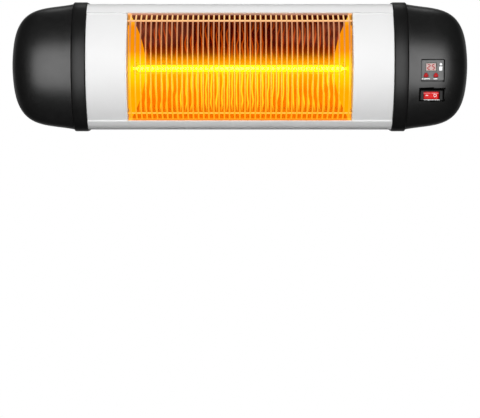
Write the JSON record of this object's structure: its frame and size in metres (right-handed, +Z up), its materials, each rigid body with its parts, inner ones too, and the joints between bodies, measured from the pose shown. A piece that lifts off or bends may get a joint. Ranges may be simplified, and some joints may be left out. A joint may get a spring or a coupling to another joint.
{
  "type": "wall-mounted infrared bar heater",
  "caption": "Wall-mounted infrared bar heater: quartz lamp in a polished trough behind a bowed wire guard, curved housing, domed end caps with controls, and a tilting wall bracket.",
  "frame": {"origin": "centre of the wall bracket's back face, on the wall", "axes": "+Y into the wall, +Z up, +X to the right seen from the front; the heater faces -Y"},
  "size_m": [0.62, 0.1924, 0.1754],
  "materials": {
    "white_housing": "white satin paint",
    "black_cap": "satin black moulding",
    "black_steel": "black powder coat",
    "zinc": "zinc plated",
    "polished_reflector": "mirror polished",
    "guard_steel": "bright plated wire",
    "tube_glass": "clear quartz, lit",
    "carbon": "glowing carbon strip",
    "ceramic": "unglazed ceramic",
    "grey_fascia": "satin grey",
    "smoke_window": "smoked clear",
    "red_key": "gloss red, lit",
    "red_rocker": "clear red, lit",
    "black_switch": "gloss black",
    "circuit_board": "board",
    "insulation": "silicone sleeve"
  },
  "bodies": {
    "wall_bracket": {"wall_bracket": "black_steel"},
    "heater": {"housing": "white_housing", "front_panel_right": "white_housing", "front_panel_left": "white_housing", "collar_right": "black_cap", "collar_left": "black_cap", "end_cap_right": "black_cap", "end_cap_left": "black_cap", "cable_gland": "black_cap", "gland_locknut": "black_cap", "tilt_yoke": "black_steel", "yoke_screw_1": "zinc", "yoke_screw_2": "zinc", "yoke_screw_3": "zinc", "yoke_screw_4": "zinc", "pivot_bolt_right": "zinc", "pivot_bolt_left": "zinc", "clamp_washer_right": "zinc", "clamp_washer_left": "zinc", "bulkhead_right": "zinc", "bulkhead_left": "zinc", "nut_bar_upper": "zinc", "nut_bar_lower": "zinc", "bulkhead_screw_upper_right": "zinc", "bulkhead_screw_upper_left": "zinc", "bulkhead_screw_lower_right": "zinc", "bulkhead_screw_lower_left": "zinc", "cap_screw_upper_right": "zinc", "cap_screw_upper_left": "zinc", "cap_screw_lower_right": "zinc", "cap_screw_lower_left": "zinc", "lamp_bracket_right": "zinc", "lamp_bracket_left": "zinc", "lamp_bracket_screw_right": "zinc", "lamp_bracket_screw_left": "zinc", "reflector": "polished_reflector", "reflector_end_right": "polished_reflector", "reflector_end_left": "polished_reflector", "wire_guard": "guard_steel", "quartz_tube": "tube_glass", "carbon_strip": "carbon", "ceramic_end_right": "ceramic", "ceramic_end_left": "ceramic", "thermal_cutout": "ceramic", "control_fascia": "grey_fascia", "display_window": "smoke_window", "switch_housing": "black_switch", "display_board": "circuit_board", "power_board": "circuit_board", "lamp_lead_right": "insulation", "lamp_lead_left": "insulation"},
    "rocker": {"rocker": "red_rocker"},
    "power_button": {"power_button": "red_key"},
    "timer_button": {"timer_button": "red_key"},
    "clamp_knob_right": {"clamp_knob_right": "black_cap", "clamp_stud_right": "zinc"},
    "clamp_knob_left": {"clamp_knob_left": "black_cap", "clamp_stud_left": "zinc"}
  },
  "joints": [
    {"name": "tilt", "type": "hinge", "parent": "wall_bracket", "child": "heater", "pos_m": [0, -0.046, 0], "axis": [1, 0, 0], "range_deg": [0, 45]},
    {"name": "rocker_turn", "type": "hinge", "parent": "heater", "child": "rocker", "pos_m": [0.2578, -0.16986, -0.038], "axis": [0, 0, 1], "range_deg": [0, 20]},
    {"name": "power_press", "type": "slide", "parent": "heater", "child": "power_button", "axis": [0, 1, 0], "range_m": [0, 0.0007], "stiffness_N_per_m": 400},
    {"name": "timer_press", "type": "slide", "parent": "heater", "child": "timer_button", "axis": [0, 1, 0], "range_m": [0, 0.0007], "stiffness_N_per_m": 400},
    {"name": "knob_turn_right", "type": "hinge", "parent": "heater", "child": "clamp_knob_right", "pos_m": [0.078, -0.03567, 0.02494], "axis": [1, 0, 0], "range_deg": [0, 360]},
    {"name": "knob_turn_left", "type": "hinge", "parent": "heater", "child": "clamp_knob_left", "pos_m": [-0.078, -0.03567, 0.02494], "axis": [-1, 0, 0], "range_deg": [0, 360]}
  ]
}
